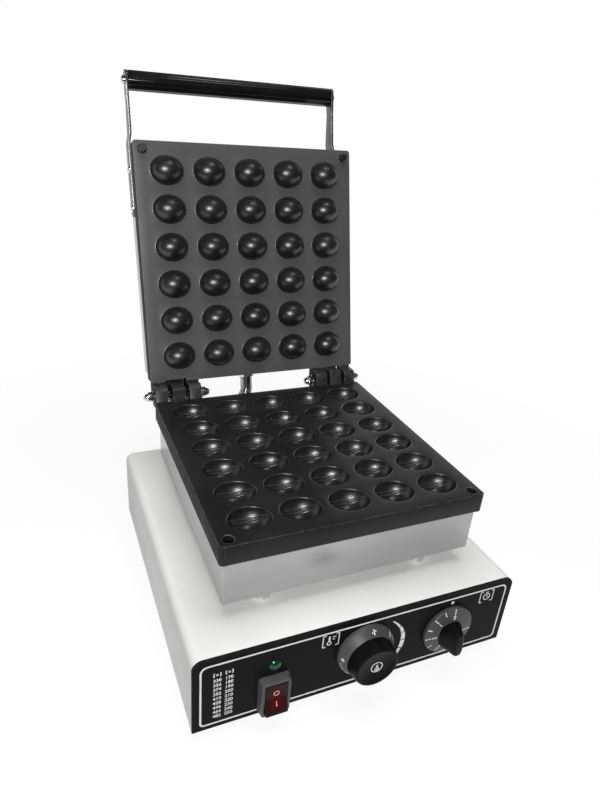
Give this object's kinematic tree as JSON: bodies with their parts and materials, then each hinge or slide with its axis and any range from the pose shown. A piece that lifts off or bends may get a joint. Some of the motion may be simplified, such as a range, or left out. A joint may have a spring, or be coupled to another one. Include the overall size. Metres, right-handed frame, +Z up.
{
  "type": "walnut waffle maker",
  "caption": "Countertop cooker: a cast plate of half-walnut cavities and a hinged lid plate of matching domes in polished heater boxes, over a base with switch, thermostat and timer.",
  "frame": {"origin": "on the floor, under the middle of the object's outline with the lid open", "axes": "+X to the right seen from the controls, +Y to the rear, +Z up"},
  "size_m": [0.304, 0.452, 0.4849],
  "materials": {
    "pale_metal": "satin pale finish",
    "panel": "satin black print on sheet",
    "sheet_steel": "plain sheet",
    "polished_steel": "mirror polish",
    "cast_plate": "dark non-stick coating",
    "fastener": "bright",
    "arm_steel": "polished flat bar",
    "element_sheath": "heat tinted",
    "clamp_steel": "plain",
    "wool": "ceramic fibre mat",
    "rubber": "matte",
    "grip": "smooth heat-proof plastic",
    "conduit": "bright ribbed metal hose",
    "switch_black": "moulded",
    "rocker_red": "translucent red",
    "lens_green": "translucent green",
    "white_plastic": "moulded",
    "control_case": "plated case",
    "knob_black": "moulded",
    "copper": "drawn tube",
    "gland_black": "moulded"
  },
  "bodies": {
    "base": {"base_housing": "pale_metal", "base_bottom_plate": "sheet_steel", "bottom_screws": "fastener", "front_panel": "panel", "panel_nuts": "fastener", "rubber_feet": "rubber", "foot_screws": "fastener", "standoff_pillars": "sheet_steel", "pillar_bolts": "fastener", "pillar_nuts": "fastener", "wire_tube": "sheet_steel", "lower_heater_box": "polished_steel", "lower_plate": "cast_plate", "lower_plate_screws": "fastener", "lower_heating_element": "element_sheath", "lower_element_clamps": "clamp_steel", "lower_clamp_screws": "fastener", "lower_insulation": "wool", "hinge_bolt_right": "fastener", "hinge_nuts_right": "fastener", "hinge_washers_right": "fastener", "conduit": "conduit", "conduit_connector_lower": "fastener", "conduit_locknut_lower": "fastener", "rocker_housing": "switch_black", "indicator_lens": "lens_green", "indicator_body": "white_plastic", "thermostat_body": "control_case", "thermostat_bulb": "copper", "thermostat_capillary": "copper", "timer_body": "control_case", "terminal_block": "white_plastic", "cable_gland": "gland_black"},
    "lid": {"upper_plate": "cast_plate", "upper_heater_cover": "polished_steel", "upper_plate_screws": "fastener", "upper_heating_element": "element_sheath", "upper_element_clamps": "clamp_steel", "upper_clamp_screws": "fastener", "upper_insulation": "wool", "handle_arm_left": "arm_steel", "handle_arm_right": "arm_steel", "handle_grip": "grip", "handle_rod": "fastener", "handle_nuts": "fastener", "arm_screws": "fastener", "arm_screw_nuts": "fastener", "hinge_bolt_left": "fastener", "hinge_nuts_left": "fastener", "hinge_washers_left": "fastener", "locating_pins": "fastener", "conduit_connector_upper": "fastener", "conduit_locknut_upper": "fastener"},
    "thermostat_dial": {"thermostat_shaft": "fastener", "thermostat_knob": "knob_black"},
    "timer_dial": {"timer_shaft": "fastener", "timer_knob": "knob_black"},
    "switch_rocker": {"rocker": "rocker_red"}
  },
  "joints": [
    {"name": "lid_hinge", "type": "hinge", "parent": "base", "child": "lid", "pos_m": [0, 0.09298, 0.16555], "axis": [1, 0, 0], "range_deg": [0, 104.7], "deforming": ["conduit"]},
    {"name": "thermostat_turn", "type": "hinge", "parent": "base", "child": "thermostat_dial", "pos_m": [-0.0018, -0.20252, 0.0523], "axis": [0, 1, 0], "range_deg": [0, 270]},
    {"name": "timer_turn", "type": "hinge", "parent": "base", "child": "timer_dial", "pos_m": [0.084, -0.20252, 0.0468], "axis": [0, 1, 0], "range_deg": [0, 300]},
    {"name": "rocker_tilt", "type": "hinge", "parent": "base", "child": "switch_rocker", "pos_m": [-0.0842, -0.20752, 0.032], "axis": [1, 0, 0], "range_deg": [0, 18]}
  ]
}
